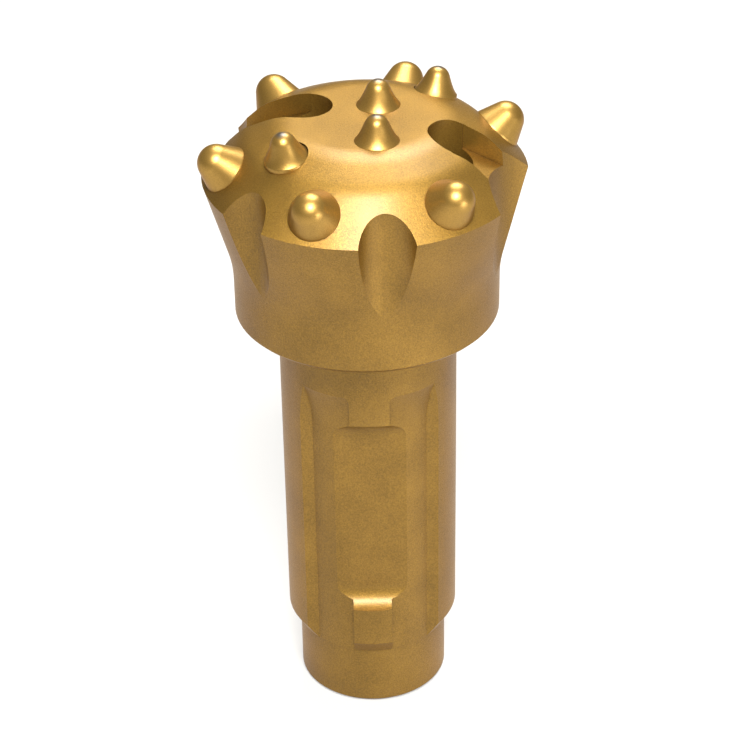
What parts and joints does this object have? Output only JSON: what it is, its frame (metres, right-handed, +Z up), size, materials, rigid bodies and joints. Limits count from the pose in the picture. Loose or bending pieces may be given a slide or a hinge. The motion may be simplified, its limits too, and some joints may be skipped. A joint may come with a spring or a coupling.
{
  "type": "button drill bit",
  "caption": "Down-the-hole hammer button bit: flared steel head with pressed-in carbide buttons, flushing channels and junk slots, on a shank with two driving keys and retaining flats.",
  "frame": {"origin": "middle of the tail end face, on the drilling axis", "axes": "+Z up the drilling axis from the tail to the rock face, -Y towards the first driving key and retaining flat, +X to its right"},
  "size_m": [0.0884, 0.0882, 0.1913],
  "materials": {
    "steel_body": "gold paint over shot-blasted forged alloy steel",
    "carbide_buttons": "thin gold paint over ground cemented carbide"
  },
  "bodies": {
    "root": {"bit_body": "steel_body", "gauge_button_1": "carbide_buttons", "gauge_button_2": "carbide_buttons", "gauge_button_3": "carbide_buttons", "gauge_button_4": "carbide_buttons", "gauge_button_5": "carbide_buttons", "gauge_button_6": "carbide_buttons", "face_button_1": "carbide_buttons", "face_button_2": "carbide_buttons", "face_button_3": "carbide_buttons", "face_button_4": "carbide_buttons"}
  },
  "joints": []
}
